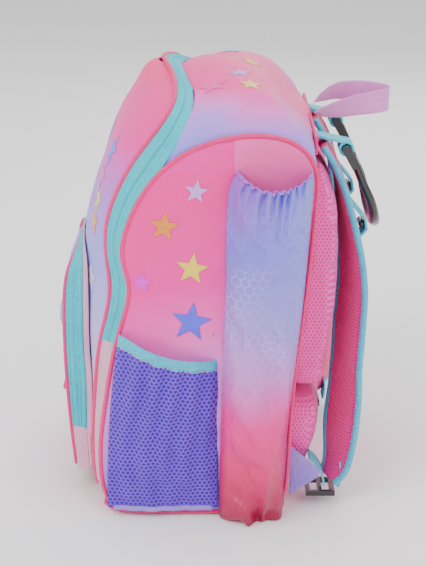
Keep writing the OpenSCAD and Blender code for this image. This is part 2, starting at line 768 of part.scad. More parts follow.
handle_end_loops();
strap_pad_right();
strap_pad_left();
strap_webbing_right();
strap_webbing_left();
strap_loop_right();
strap_loop_left();
ladder_lock_right();
ladder_lock_left();
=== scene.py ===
import math

import bmesh
import bpy
import numpy as np
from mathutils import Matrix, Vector, noise
from mathutils.bvhtree import BVHTree


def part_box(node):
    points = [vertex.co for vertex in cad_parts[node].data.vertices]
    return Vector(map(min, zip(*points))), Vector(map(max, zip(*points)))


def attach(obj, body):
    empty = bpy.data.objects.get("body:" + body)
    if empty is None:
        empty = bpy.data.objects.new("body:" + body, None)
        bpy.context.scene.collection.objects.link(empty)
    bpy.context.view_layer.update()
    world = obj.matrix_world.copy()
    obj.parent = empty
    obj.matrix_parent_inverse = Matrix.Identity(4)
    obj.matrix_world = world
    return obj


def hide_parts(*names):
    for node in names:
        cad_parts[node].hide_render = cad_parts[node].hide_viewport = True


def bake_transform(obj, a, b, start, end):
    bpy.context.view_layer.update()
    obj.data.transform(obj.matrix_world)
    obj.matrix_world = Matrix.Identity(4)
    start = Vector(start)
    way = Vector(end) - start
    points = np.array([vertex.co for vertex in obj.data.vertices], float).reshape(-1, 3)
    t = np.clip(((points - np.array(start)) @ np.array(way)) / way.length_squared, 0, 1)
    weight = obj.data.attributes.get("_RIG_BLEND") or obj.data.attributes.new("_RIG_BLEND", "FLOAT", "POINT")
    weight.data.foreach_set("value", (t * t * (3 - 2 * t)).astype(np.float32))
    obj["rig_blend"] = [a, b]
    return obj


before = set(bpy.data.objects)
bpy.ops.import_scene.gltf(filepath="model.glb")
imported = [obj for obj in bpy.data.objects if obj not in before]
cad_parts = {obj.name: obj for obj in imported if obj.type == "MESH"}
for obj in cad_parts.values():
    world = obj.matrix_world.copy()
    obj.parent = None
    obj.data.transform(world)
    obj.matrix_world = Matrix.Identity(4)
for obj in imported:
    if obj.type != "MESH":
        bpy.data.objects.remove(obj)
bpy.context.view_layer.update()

MM = 0.001
SIDE_X = 0.140  # where the side panels are
PANEL_LIFT = 0.0042  # how far the side pockets and the seam's stitches start off it
RIBBON_WIDTH = 0.0225
WELD = 1e-5
SATURATION = 1.55
BAG, FLAP, POCKET = "bag_body", "front_flap", "pocket_flap"

# Curves in millimetres: edges of the zips and the right strap, then pocket edges and middle lines
FRONT_EDGE = [
    (112, -111, 16), (123.2, -113, 34), (126, -114, 70), (126, -112, 110), (126, -107, 160), (126, -98, 198),
    (126, -96, 222), (126, -99, 252), (126, -97, 278), (126, -88, 304), (123.9, -73, 331), (116.9, -52, 357),
    (100.8, -39, 376), (70, -38, 388), (35, -44, 396), (0, -51, 400),
]
REAR_EDGE = [
    (140, -90, 6), (140, -105, 26), (140, -107, 68), (140, -102, 108), (140, -93, 160), (140, -82, 197),
    (140, -78, 222), (140, -84, 247), (140, -81, 270), (140, -70, 297), (140, -52, 322), (133, -33, 352),
    (112, -23, 372), (79.8, -22, 382), (42, -28, 389), (0, -33, 392),
]
POCKET_SEAM = [
    (94, -117.5, 24), (95, -117.8, 60), (95, -116, 110), (95, -117.8, 150), (93, -117.6, 195),
    (87, -118.5, 225), (68, -122, 237), (34, -126, 241), (0, -127.3, 242),
]
POCKET_EDGE = [
    (84, -134, 19), (85, -138, 60), (85, -141, 110), (85, -142, 150), (84, -141.5, 190),
    (78, -138.5, 214), (62, -133.8, 225), (32, -131.4, 228), (0, -130.8, 228.5),
]
STRAP_OUT = [
    (86, 93, 333), (88, 103, 318), (92, 112.5, 296), (95, 119.5, 273), (97, 125.5, 249), (99, 129.5, 230),
    (101, 132.5, 200), (104, 131, 160), (107, 129, 130), (110, 129, 100), (114, 126, 66), (119, 119, 36),
]
STRAP_IN = [
    (30, 93, 333), (32, 102, 318), (36, 108.5, 298), (40, 111, 275), (44, 113, 250), (47, 114, 230),
    (50, 114, 200), (54, 111, 160), (58, 109.5, 130), (64, 107, 100), (75, 102.5, 68), (90, 102, 38),
]
MESH_MOUTH = [(-88, 179), (-61, 167), (-34, 159), (0, 155)]
BOTTLE_FRONT = [(1, 1), (2, 89), (6, 212), (8, 303), (17, 327)]
BOTTLE_REAR = [(58, 1), (62, 89), (74, 212), (80, 290), (80, 327)]
HANDLE_LINE = [(60, 124, 312), (58, 132, 293), (54, 140, 275), (46, 144, 260), (28, 146, 250), (0, 147, 246)]
RIBBON_LINE = [
    (6, 89.5, 348), (6, 98, 348.5), (6, 112, 351), (6, 130, 355), (6, 148, 358), (4, 157, 360),
    (-2, 159, 361), (-6, 150, 363), (-6, 132, 366), (-6, 112, 366), (-6, 98, 360), (-6, 89.5, 354),
]


# ---- Curves ----

def vec(points):
    """Points in metres, from millimetres."""
    return [np.array(p, float) * MM for p in points]


def sided(points, sign):
    """Points as they are for sign 1, mirrored to the left side for sign -1."""
    return [np.array([p[0] * sign, p[1], p[2]]) for p in points]


def whole(half):
    """Half a curve and its mirror image, from one end to the other."""
    return half + sided(half[-2::-1], -1)


def along(pts, s):
    """Point at s on a smooth curve through a list of points, where s counts the points."""
    last = len(pts) - 1
    i = max(0, min(int(math.floor(s)), last - 1))
    a, b, c, d = pts[max(i - 1, 0)], pts[i], pts[i + 1], pts[min(i + 2, last)]
    t = s - i
    return 0.5 * (2 * b + (c - a) * t + (2 * a - 5 * b + 4 * c - d) * t * t
                  + (3 * b - a - 3 * c + d) * t ** 3)


def curve(pts, steps):
    """Points evenly spread over a smooth curve's whole length, as along() counts it."""
    return [along(pts, (len(pts) - 1) * k / steps) for k in range(steps + 1)]


def unit(v):
    return v / max(np.linalg.norm(v), 1e-12)


front_curve, rear_curve = whole(vec(FRONT_EDGE)), whole(vec(REAR_EDGE))
pocket_edge, pocket_seam = whole(vec(POCKET_EDGE)), whole(vec(POCKET_SEAM))
mesh_mouth, bottle_front, bottle_rear = vec(MESH_MOUTH), vec(BOTTLE_FRONT), vec(BOTTLE_REAR)
ZIP_END, CENTRE, POCKET_ZIP_END, POCKET_CENTRE = 4.15, 15, 1.1, 8


def lengths(pts):
    """How far each point is along a line of points."""
    far = [0.0]
    for a, b in zip(pts, pts[1:]):
        far.append(far[-1] + np.linalg.norm(b - a))
    return far


def at_length(pts, far, d):
    return np.array([np.interp(d, far, [p[k] for p in pts]) for k in range(3)])


def hump(u):
    """0 at both ends of a span, where u is 0 and 1, and 1 in its middle."""
    return math.sin(math.pi * min(1, max(0, u)))


def turns(count):
    """Angles round a full turn."""
    return [2 * math.pi * k / count for k in range(count)]


def strip_normal(a, b, s, e=0.05):
    """Normal at s of the strip between two curves."""
    t = along(a, s + e) - along(a, s - e) + along(b, s + e) - along(b, s - e)
    return unit(np.cross(along(b, s) - along(a, s), t))


# ---- Meshes ----

def new_object(name, verts, faces, smooth=True):
    mesh = bpy.data.meshes.new(name)
    mesh.from_pydata([tuple(float(c) for c in v) for v in verts], [], faces)
    mesh.validate()
    ob = bpy.data.objects.new(name, mesh)
    bpy.context.scene.collection.objects.link(ob)
    bm = bmesh.new()
    bm.from_mesh(mesh)
    bmesh.ops.recalc_face_normals(bm, faces=bm.faces)
    bm.to_mesh(mesh)
    bm.free()
    mesh.polygons.foreach_set("use_smooth", [smooth] * len(mesh.polygons))
    return ob


def grid_faces(rows, columns, closed=True, base=0):
    """Quads between the rows of a grid of points, round it too if closed."""
    faces = []
    for i in range(rows - 1):
        for j in range(columns if closed else columns - 1):
            k = (j + 1) % columns
            near, far = base + i * columns, base + (i + 1) * columns
            faces.append([near + j, near + k, far + k, far + j])
    return faces


def capped_faces(rows, columns, base=0):
    """Quads round a closed grid of points, and a cap on each end."""
    first = [base + j for j in range(columns - 1, -1, -1)]
    last = [base + (rows - 1) * columns + j for j in range(columns)]
    return grid_faces(rows, columns, True, base) + [first, last]


def node_bmesh(node):
    bm = bmesh.new()
    bm.from_mesh(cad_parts[node].data)
    bm.transform(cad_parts[node].matrix_world)
    bmesh.ops.remove_doubles(bm, verts=bm.verts, dist=WELD)
    return bm


def node_mesh(node):
    """Vertices and faces of a CAD node, with its triangles joined into quads."""
    bm = node_bmesh(node)
    bmesh.ops.join_triangles(bm, faces=bm.faces, angle_face_threshold=0.8, angle_shape_threshold=1.2)
    bm.verts.ensure_lookup_table()
    verts = [np.array(v.co) for v in bm.verts]
    faces = [[v.index for v in f.verts] for f in bm.faces]
    bm.free()
    return verts, faces


def apply_all(ob):
    """Applies an object's modifiers."""
    deps = bpy.context.evaluated_depsgraph_get()
    bpy.context.view_layer.update()
    mesh = bpy.data.meshes.new_from_object(ob.evaluated_get(deps))
    old = ob.data
    ob.modifiers.clear()
    ob.data = mesh
    bpy.data.meshes.remove(old)
    ob.data.polygons.foreach_set("use_smooth", [True] * len(ob.data.polygons))
    return ob


def subdivided(ob, levels=1, simple=False):
    mod = ob.modifiers.new("subdivision", "SUBSURF")
    mod.levels = mod.render_levels = levels
    mod.subdivision_type = "SIMPLE" if simple else "CATMULL_CLARK"
    return apply_all(ob)


def from_node(node, name, levels=1):
    verts, faces = node_mesh(node)
    return subdivided(new_object(name, verts, faces), levels)


def bevelled(node, name, width=0.0006, segments=2):
    verts, faces = node_mesh(node)
    ob = new_object(name, verts, faces)
    mod = ob.modifiers.new("bevel", "BEVEL")
    mod.width, mod.segments, mod.limit_method = width, segments, "ANGLE"
    return apply_all(ob)


def thickened(ob, thickness):
    """Gives a sheet its thickness, half to each side."""
    mod = ob.modifiers.new("thickness", "SOLIDIFY")
    mod.thickness, mod.offset = thickness, 0.0
    return apply_all(ob)


def grid_object(name, rows, thickness=0.0, closed=False):
    """A sheet or a closed skin through rows of points."""
    verts = [p for row in rows for p in row]
    ob = new_object(name, verts, grid_faces(len(rows), len(rows[0]), closed))
    return thickened(ob, thickness) if thickness else ob


def tube_object(name, path, radius, sides=12, flat=1.0, up=(0, 0, 1)):
    """A round or flattened cord along a path; radius may be a function of the share along it."""
    last = len(path) - 1
    verts = []
    for i, p in enumerate(path):
        t = unit(path[min(i + 1, last)] - path[max(i - 1, 0)])
        u = unit(np.cross(t, np.array(up, float)))
        v = np.cross(t, u)
        r = radius(i / last) if callable(radius) else radius
        verts += [p + r * (math.cos(w) * u + flat * math.sin(w) * v) for w in turns(sides)]
    return new_object(name, verts, capped_faces(last + 1, sides))


def shaped(ob, move):
    """Moves each vertex by move(point, normal), a length along its normal."""
    mesh = ob.data
    moved = [(v.co + v.normal * move(v.co, v.normal)) for v in mesh.vertices]
    for v, co in zip(mesh.vertices, moved):
        v.co = co
    mesh.update()
    return ob


def ripple(p, size, seed=0.0, octaves=2):
    """Smooth noise from about -0.5 to 0.5 at a point, with features of about size metres."""
    q = Vector(p) / size + Vector((seed, seed * 1.7, -seed))
    total, gain = 0.0, 0.5
    for _ in range(octaves):
        total += gain * noise.noise(q)
        q, gain = q * 2.1, gain * 0.5
    return total


def creased(p, size, seed=0.0):
    """Sharp folds, up to 0.5 along the ridges of the noise."""
    return 0.5 - abs(noise.noise(Vector(p) / size + Vector((seed, -seed, seed * 0.5)))) * 2


SWELL_FRAMES = 20


def puffed(ob, voxel, cap, pressure=4.0):
    """Remeshes a pad and lets pressure fill it, with each point held within cap of where it was."""
    mod = ob.modifiers.new("voxels", "REMESH")
    mod.mode, mod.voxel_size = "VOXEL", voxel
    apply_all(ob)
    rest = [v.co.copy() for v in ob.data.vertices]
    cloth = ob.modifiers.new("pressure", "CLOTH")
    cloth.settings.use_pressure = True
    cloth.settings.uniform_pressure_force = pressure
    cloth.settings.effector_weights.gravity = 0
    cloth.settings.tension_stiffness = 20
    cloth.point_cache.frame_start, cloth.point_cache.frame_end = 1, SWELL_FRAMES
    for f in range(1, SWELL_FRAMES + 1):
        bpy.context.scene.frame_set(f)
    deps = bpy.context.evaluated_depsgraph_get()
    swollen = [v.co.copy() for v in ob.evaluated_get(deps).data.vertices]
    ob.modifiers.clear()
    bpy.context.scene.frame_set(1)
    for v, a, b in zip(ob.data.vertices, rest, swollen):
        step = b - a
        v.co = a + (step if step.length < cap else step * (cap / step.length))
    ob.data.update()
    return subdivided(ob, 1)


def stitches(name, path, body, look, length=0.0028, gap=0.0016, r=0.00028):
    """A row of short threads along a path."""
    pts = [np.array(p, float) for p in path]
    far = lengths(pts)
    sides = 5
    verts, faces = [], []
    d = 0.0
    while d + length < far[-1]:
        a, b = at_length(pts, far, d), at_length(pts, far, d + length)
        t = unit(b - a)
        u = unit(np.cross(t, [0.3, 0.5, 0.81]))
        v = np.cross(t, u)
        faces += capped_faces(4, sides, len(verts))
        for c, s in ((a, 0.5), (a + t * r, 1), (b - t * r, 1), (b, 0.5)):
            verts += [c + r * s * (math.cos(w) * u + math.sin(w) * v) for w in turns(sides)]
        d += length + gap
    return dress(new_object(name, verts, faces), look, body)


# ---- Materials ----

def rgb(code):
    """Linear colour of a hex code, made stronger to make up for the pale studio light."""
    parts = [int(code[i:i + 2], 16) / 255 for i in (1, 3, 5)]
    linear = [c / 12.92 if c <= 0.04045 else ((c + 0.055) / 1.055) ** 2.4 for c in parts]
    grey = sum(linear) / 3
    strong = [min(1.0, max(0.0, grey + (c - grey) * SATURATION)) for c in linear]
    return (strong[0], strong[1], max(strong[2], linear[2] * 0.95), 1.0)


class Look:
    """A material with its shader and short ways to add nodes."""

    def __init__(self, name, roughness=0.6, sheen=0.0, coat=0.0, metallic=0.0):
        self.m = bpy.data.materials.new(name)
        self.m.use_nodes = True
        self.t = self.m.node_tree
        self.bsdf = self.t.nodes["Principled BSDF"]
        self.bsdf.inputs["Roughness"].default_value = roughness
        self.bsdf.inputs["Sheen Weight"].default_value = sheen
        self.bsdf.inputs["Sheen Roughness"].default_value = 0.4
        self.bsdf.inputs["Coat Weight"].default_value = coat
        self.bsdf.inputs["Coat Roughness"].default_value = 0.25
        self.bsdf.inputs["Metallic"].default_value = metallic
        self.p = self.node("ShaderNodeTexCoord").outputs["Object"]
        self.height = None

    def node(self, kind, **values):
        n = self.t.nodes.new(kind)
        for k, v in values.items():
            setattr(n, k, v)
        return n

    def put(self, value, socket):
        if isinstance(value, bpy.types.NodeSocket):
            self.t.links.new(value, socket)
        else:
            socket.default_value = value

    def math(self, op, a, b=0.0, c=0.0):
        n = self.node("ShaderNodeMath", operation=op)
        self.put(a, n.inputs[0])
        self.put(b, n.inputs[1])
        self.put(c, n.inputs[2])
        return n.outputs[0]

    def times(self, a, b):
        return self.math("MULTIPLY", a, b)

    def plus(self, a, b):
        return self.math("ADD", a, b)

    def axis(self, k):
        n = self.node("ShaderNodeSeparateXYZ")
        self.put(self.p, n.inputs[0])
        return n.outputs[k]

    def noise(self, scale, detail=2.0, stretch=None):
        n = self.node("ShaderNodeTexNoise")
        n.inputs["Scale"].default_value = scale
        n.inputs["Detail"].default_value = detail
        source = self.p
        if stretch:
            m = self.node("ShaderNodeMapping")
            self.put(self.p, m.inputs["Vector"])
            m.inputs["Scale"].default_value = stretch
            source = m.outputs["Vector"]
        self.put(source, n.inputs["Vector"])
        return n.outputs["Fac"]

    def cloud(self, scale, amount):
        """Soft unevenness about 0."""
        return self.times(self.math("SUBTRACT", self.noise(scale, 3), 0.5), amount)

    def ramp(self, value, stops):
        """Colour or grey level of a value, from stops of a place and a hex code or a level."""
        n = self.node("ShaderNodeValToRGB")
        self.put(value, n.inputs[0])
        elements = n.color_ramp.elements
        while len(elements) < len(stops):
            elements.new(0.5)
        for e, (at, code) in zip(elements, stops):
            e.position = at
            e.color = rgb(code) if isinstance(code, str) else (code, code, code, 1)
        return n.outputs["Color"]

    def mix(self, a, b, fac, kind="MIX"):
        n = self.node("ShaderNodeMix", data_type="RGBA", blend_type=kind)
        self.put(fac, n.inputs["Factor"])
        self.put(rgb(a) if isinstance(a, str) else a, n.inputs["A"])
        self.put(rgb(b) if isinstance(b, str) else b, n.inputs["B"])
        return n.outputs["Result"]

    def between(self, value, low, high):
        """value brought from low..high to 0..1."""
        n = self.node("ShaderNodeMapRange")
        self.put(value, n.inputs["Value"])
        n.inputs["From Min"].default_value = low
        n.inputs["From Max"].default_value = high
        return n.outputs["Result"]

    def weave(self, pitch):
        """Height of a plain weave with the given pitch: threads along all three axes."""
        x, y, z = (self.math("SINE", self.times(self.axis(a), 2 * math.pi / pitch)) for a in range(3))
        return self.plus(self.plus(x, y), z)

    def hexagons(self, cell, turning=False):
        """Distance to the nearest edge of a honeycomb with cells of that width, about 0 at an edge.
        Turning ones run on round a corner, from a face across Y to a face across X."""
        level = self.plus(self.axis(0), self.axis(1)) if turning else self.axis(1)
        y = self.math("DIVIDE", level, cell)
        z = self.math("DIVIDE", self.axis(2), cell * math.sqrt(3))
        near = []
        for shift in (0.0, 0.5):
            fy = self.math("SUBTRACT", self.math("FRACT", self.plus(y, shift)), 0.5)
            fz = self.math("SUBTRACT", self.math("FRACT", self.plus(z, shift)), 0.5)
            ay = self.math("ABSOLUTE", fy)
            az = self.times(self.math("ABSOLUTE", fz), math.sqrt(3))
            slant = self.plus(self.times(ay, 0.5), self.times(az, math.sqrt(3) / 2))
            near.append(self.math("MAXIMUM", ay, slant))
        return self.math("SUBTRACT", 0.5, self.math("MINIMUM", near[0], near[1]))

    def relief(self, height, distance, strength=0.6):
        n = self.node("ShaderNodeBump")
        n.inputs["Strength"].default_value = strength
        n.inputs["Distance"].default_value = distance
        self.put(height, n.inputs["Height"])
        if self.height is not None:
            self.put(self.height, n.inputs["Normal"])
        self.height = n.outputs["Normal"]

    def shell_relief(self, scale, distance, strength):
        """Relief of a fine shell fabric: its weave and a soft unevenness."""
        self.relief(self.weave(0.0009), 0.00012, 0.5)
        self.relief(self.noise(scale, 3), distance, strength)

    def done(self, colour):
        self.put(rgb(colour) if isinstance(colour, str) else colour, self.bsdf.inputs["Base Color"])
        if self.height is not None:
            self.put(self.height, self.bsdf.inputs["Normal"])
        return self.m


def printed(name, axis, low, high, stops, wobble=0.12, roughness=0.5, sheen=0.25):
    """Woven shell fabric with a soft gradient print."""
    k = Look(name, roughness, sheen)
    share = k.between(k.axis(axis), low, high)
    colour = k.ramp(k.plus(share, k.cloud(9, wobble * 2)), stops)
    thread = k.times(k.math("SUBTRACT", k.noise(900, 1), 0.42), 0.28)
    colour = k.mix(colour, "#FFFFFF", thread, "SOFT_LIGHT")
    k.shell_relief(70, 0.0012, 0.25)
    return k.done(colour)


def woven(name, code, dark, pitch=0.0012, roughness=0.65, sheen=0.2, ribs=None):
    """Plain dyed fabric, with thread-to-thread colour variation."""
    k = Look(name, roughness, sheen)
    colour = k.mix(code, dark, k.ramp(k.noise(500, 2), [(0.35, 0.0), (0.75, 0.6)]))
    colour = k.mix(colour, dark, k.ramp(k.noise(30, 2), [(0.45, 0.0), (0.8, 0.35)]))
    k.relief(k.weave(pitch), 0.00025, 0.6)
    if ribs is not None:
        axis, step = ribs
        k.relief(k.math("SINE", k.times(k.axis(axis), 2 * math.pi / step)), 0.0004, 0.6)
    return k.done(colour)


def air_mesh(name, thread, hole, cell=0.0034, turning=False, roughness=0.7):
    """Knitted mesh with small dark holes in a honeycomb."""
    k = Look(name, roughness, 0.2)
    edge = k.hexagons(cell, turning)
    mask = k.ramp(edge, [(0.12, 0.0), (0.26, 1.0)])
    base = k.mix(thread, hole, k.ramp(k.noise(40, 2), [(0.4, 0.0), (0.8, 0.3)]))
    k.relief(k.ramp(edge, [(0.05, 1.0), (0.3, 0.0)]), 0.0009, 0.9)
    return k.done(k.mix(base, hole, mask))


def plastic(name, code, roughness=0.28, coat=0.5, metallic=0.0, sheen_colour="#FFFFFF"):
    """Moulded plastic or enamel with faint unevenness and scattered lighter spots of painted sheen."""
    k = Look(name, roughness, 0.0, coat, metallic)
    # painted sheen: lighter spots of the sheen colour (white, or purple-grey on the black plastic) mixed in
    # at random
    sheen_spots = k.ramp(k.noise(160, 4), [(0.6, 0.0), (0.9, 0.25)])
    k.relief(k.noise(420, 2), 0.00012, 0.35)
    return k.done(k.mix(code, sheen_colour, sheen_spots))


def bottle_cloth():
    """Coated fabric: lilac to blue at the top, silvery honeycomb in the middle, hot pink at the bottom."""
    k = Look("bottle_cloth", 0.36, 0.05, 0.1)
    z = k.plus(k.axis(2), k.cloud(11, 0.05))
    up = k.ramp(k.between(z, 0.0, 0.33), [
        (0.02, "#8C0E44"), (0.17, "#BC2262"), (0.31, "#D8508E"), (0.43, "#C890C8"), (0.58, "#AC9AD4"),
        (0.78, "#8684CC"), (1.0, "#A078C4")])
    blue = k.times(k.between(k.axis(1), 0.02, 0.075), k.between(z, 0.12, 0.3))
    across = k.mix(up, "#8E92D8", blue)
    edge = k.hexagons(0.0075)
    line = k.ramp(edge, [(0.03, 1.0), (0.09, 0.0)])
    shown = k.times(k.ramp(k.noise(26, 2), [(0.4, 0.15), (0.65, 1.0)]), 0.32)
    band_z = k.ramp(k.axis(2), [(0.10, 0.0), (0.16, 1.0), (0.26, 1.0), (0.31, 0.2)])
    colour = k.mix(across, "#E6E2F8", k.times(k.times(line, shown), band_z))
    k.relief(k.ramp(edge, [(0.0, 0.0), (0.1, 1.0)]), 0.0006, 0.4)
    k.relief(k.noise(38, 5, (1, 2.0, 0.5)), 0.006, 0.5)
    return k.done(colour)


def side_cloth():
    """Pink at the top to pale lilac low down, paler behind the seam above the bottle pocket."""
    k = Look("side_cloth", 0.55, 0.3)
    share = k.between(k.axis(2), 0.10, 0.36)
    lean = k.times(k.axis(1), -0.9)
    colour = k.ramp(k.plus(k.plus(share, k.cloud(10, 0.16)), lean), [
        (0.0, "#D0A2E0"), (0.14, "#DDA2DA"), (0.3, "#F08CC0"), (0.5, "#FF6EA6"), (0.8, "#FF5E98"),
        (1.0, "#FF78AC")])
    low = k.ramp(k.between(k.axis(2), 0.0, 0.12), [(0.0, 1.0), (0.8, 0.0)])
    colour = k.mix(colour, "#8C86D8", k.times(low, 0.7))
    behind = k.times(k.math("GREATER_THAN", k.axis(1), 0.0135), k.math("GREATER_THAN", k.axis(2), 0.29))
    colour = k.mix(colour, "#FF98BC", k.times(behind, 0.6))
    k.shell_relief(60, 0.0012, 0.25)
    return k.done(colour)


def gusset_cloth():
    """Top of the bag: coral pink at the crown, through lilac to periwinkle above the side panel."""
    k = Look("gusset_cloth", 0.5, 0.3)
    out = k.math("ABSOLUTE", k.axis(0))
    drop = k.plus(k.times(out, 3.0), k.times(k.math("SUBTRACT", 0.4, k.axis(2)), 6.5))
    ahead = k.times(k.axis(1), -1.5)
    share = k.between(k.plus(k.plus(drop, ahead), k.cloud(9, 0.5)), 0.0, 1.0)
    colour = k.ramp(share, [(0.12, "#FF5F90"), (0.3, "#FF6C9C"), (0.48, "#DE90CC"), (0.64, "#B89CE0"),
                            (0.85, "#9C9CE8"), (1.0, "#A8A4EC")])
    k.shell_relief(60, 0.0014, 0.3)
    return k.done(colour)


looks = {
    "side": side_cloth(),
    "gusset": gusset_cloth(),
    "front": printed("front_cloth", 2, 0.0, 0.40, [
        (0.05, "#F04A8C"), (0.16, "#F27CB0"), (0.3, "#DCBCE6"), (0.46, "#C2BAEE"), (0.62, "#A8A4E8"),
        (0.74, "#C08CD8"), (0.86, "#F06AA8"), (1.0, "#FF5088")], 0.08),
    "pocket": printed("pocket_cloth", 2, 0.0, 0.24, [
        (0.0, "#E8508C"), (0.3, "#E690C8"), (0.6, "#B8A8E8"), (1.0, "#A8A8EC")], 0.1),
    "back": printed("back_cloth", 2, 0.0, 0.36, [(0.0, "#F274B0"), (1.0, "#F584BC")], 0.1, 0.7),
    "base": printed("base_cloth", 2, 0.0, 0.03, [(0.0, "#D8407C"), (1.0, "#E85090")], 0.1, 0.6),
    "bottle": bottle_cloth(),
    "lining": woven("lining_cloth", "#EBC4D6", "#C994B4", 0.0009, 0.35, 0.5),
    "piping": woven("piping_cloth", "#F04088", "#C42062", 0.0011, 0.5, 0.2),
    "tape": woven("tape_cloth", "#72CCD8", "#3E9CAE", 0.0010, 0.55, 0.2),
    "mesh": air_mesh("mesh_cloth", "#8468CC", "#3E2480", 0.0042),
    "binding": woven("binding_cloth", "#82CCE2", "#4C98B8", 0.0009, 0.6, 0.3, (2, 0.0021)),
    "back_mesh": air_mesh("back_mesh_cloth", "#F590C4", "#DC64A4", 0.0036, True),
    "strap_mesh": air_mesh("strap_mesh_cloth", "#E05A9C", "#B02870", 0.0036, True),
    "strap_out": woven("strap_cloth", "#FF5084", "#D82860", 0.0010, 0.5, 0.3),
    "webbing": woven("webbing_cloth", "#8CD2E2", "#4E9CB8", 0.0014, 0.6, 0.2, (0, 0.0026)),
    "ribbon": woven("ribbon_cloth", "#F6BCEC", "#DE94D4", 0.0006, 0.25, 0.8),
    "wing": woven("wing_cloth", "#B0A0E0", "#8C7CC4", 0.0010, 0.5, 0.2),
    "thread": woven("thread", "#F8D8EC", "#D8A8C8", 0.0005, 0.5, 0.1),
    "pink_thread": woven("pink_thread", "#FF74AC", "#D84888", 0.0005, 0.5, 0.1),
    "teeth": plastic("teeth_plastic", "#64C2CE", 0.4, 0.2),
    "slider": plastic("slider_enamel", "#5CB8C8", 0.3, 0.5, 0.2),
    "pull": plastic("pull_rubber", "#7ED8E2", 0.6, 0.0),
    # 3A363C: the purple-grey of the painted sheen spots on the black plastic
    "black": plastic("black_plastic", "#121013", 0.25, 0.6, 0.0, "#3A363C"),
    "board": plastic("board_plastic", "#D8D8D8", 0.6, 0.0),
    "teal_star": plastic("teal_coating", "#6FC4D0", 0.4, 0.3),
}
SLOTS = {look: slot for slot, names in {
    "pink_shell": "side front pocket back base", "lilac_shell": "gusset bottle wing", "lining": "lining",
    "piping": "piping thread pink_thread", "zip_tape": "tape", "mesh_purple": "mesh", "binding": "binding",
    "back_mesh": "back_mesh", "strap_mesh": "strap_mesh strap_out", "webbing": "webbing", "ribbon": "ribbon",
    "zip_teeth": "teeth", "slider": "slider", "pull_rubber": "pull", "black_plastic": "black",
    "stiff_sheet": "board", "gold_fabric": "teal_star"}.items() for look in names.split()}


def dress(ob, look, body=None, *nodes):
    """Gives a piece its material, the body that it rides on and the nodes that it stands for."""
    ob.data.materials.clear()
    ob.data.materials.append(looks[look])
    if nodes:
        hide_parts(*nodes)
    if body:
        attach(ob, body)
    return ob


def keep_node(node, look):
    """A CAD node that stays, with its own material."""
    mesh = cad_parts[node].data
    if not mesh.materials:
        mesh.materials.append(looks[look])
    for i in range(len(mesh.materials)):
        mesh.materials[i] = looks[look]


SIDES = (("right", 1), ("left", -1))


# ---- Side panels ----

def outline(node, x):
    """The node's outline in the plane at x, in order."""
    bm = node_bmesh(node)
    flat = [f for f in bm.faces if all(abs(v.co.x - x) < 1e-4 for v in f.verts)]
    inside = set(flat)
    follow = {}
    for f in flat:
        for e in f.edges:
            if sum(1 for g in e.link_faces if g in inside) == 1:
                a, b = e.verts
                follow.setdefault(a, []).append(b)
                follow.setdefault(b, []).append(a)
    start = next(iter(follow))
    loop, last, here = [start], None, start
    while True:
        ahead = [v for v in follow[here] if v is not last]
        if not ahead or ahead[0] is start or len(loop) > 2000:
            break
        last, here = here, ahead[0]
        loop.append(here)
    pts = [np.array(v.co) for v in loop]
    bm.free()
    return pts


def resampled(loop, n):
    """n points at even distances round a closed loop."""
    pts = loop + [loop[0]]
    far = lengths(pts)
    return [at_length(pts, far, far[-1] * k / n) for k in range(n)]


SEAM_LINE = ((0.017, 0.326), (0.0105, 0.353))
SEAM_DEPTH, SEAM_WIDTH = 0.0016, 0.0012


def side_panel(side, sign):
    """The panel's cloth: rings that shrink from the node's outline to its middle, bulging as they go."""
    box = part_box(f"side_panel_{side}")
    plane = box[1][0] if sign > 0 else box[0][0]
    loop = resampled(outline(f"side_panel_{side}", plane), 200)
    grown = 0.0022
    middle = np.array([plane, -0.004, 0.178])
    rings = 44
    (ya, za), (yb, zb) = SEAM_LINE
    rows = []
    for i in range(rings + 1):
        r = 1 - (i / rings) ** 1.15 * 0.9995
        calm = min(1, 6 * (1 - r))
        bulge = 0.0052 * (1 - r ** 2.2) ** 0.8
        row = []
        for p in loop:
            flat = p - middle
            q = middle + flat * r + unit(flat) * grown * r
            wrinkle = 0.0036 * ripple(q, 0.055, 3.0, 3) * calm
            folds = 0.0026 * max(0, creased(q, 0.07, 1.3) - 0.25) * calm
            t = (q[2] - za) / (zb - za)
            off = abs(q[1] - (ya + (yb - ya) * t))
            groove = -SEAM_DEPTH * math.exp(-(off / SEAM_WIDTH) ** 2) if t > -0.3 else 0.0
            row.append(np.array([plane + sign * (bulge + wrinkle + folds + groove), q[1], q[2]]))
        rows.append(row)
    ob = grid_object(f"side_panel_cloth_{side}", rows, 0.0012, closed=True)
    dress(ob, "side", BAG, f"side_panel_{side}")
    beside = 0.0022
    seam = [np.array([plane + sign * PANEL_LIFT, y + beside, z]) for y, z in ((ya, 0.328), (yb, 0.350))]
    stitches(f"side_seam_thread_{side}", on_surface(curve(seam, 8), ob, (sign, 0, 0)), BAG, "thread")
    return ob


def on_surface(points, ob, direction, lift=0.0005):
    """Points dropped on an object along minus direction, and raised off it."""
    tree = BVHTree.FromObject(ob, bpy.context.evaluated_depsgraph_get())
    d = Vector(direction)
    found = []
    for p in points:
        hit = tree.ray_cast(Vector(p) + d * 0.12, -d)
        if hit[0] is not None:
            found.append(np.array(hit[0] + d * lift))
    return found if len(found) > 1 else [np.array(p) for p in points]


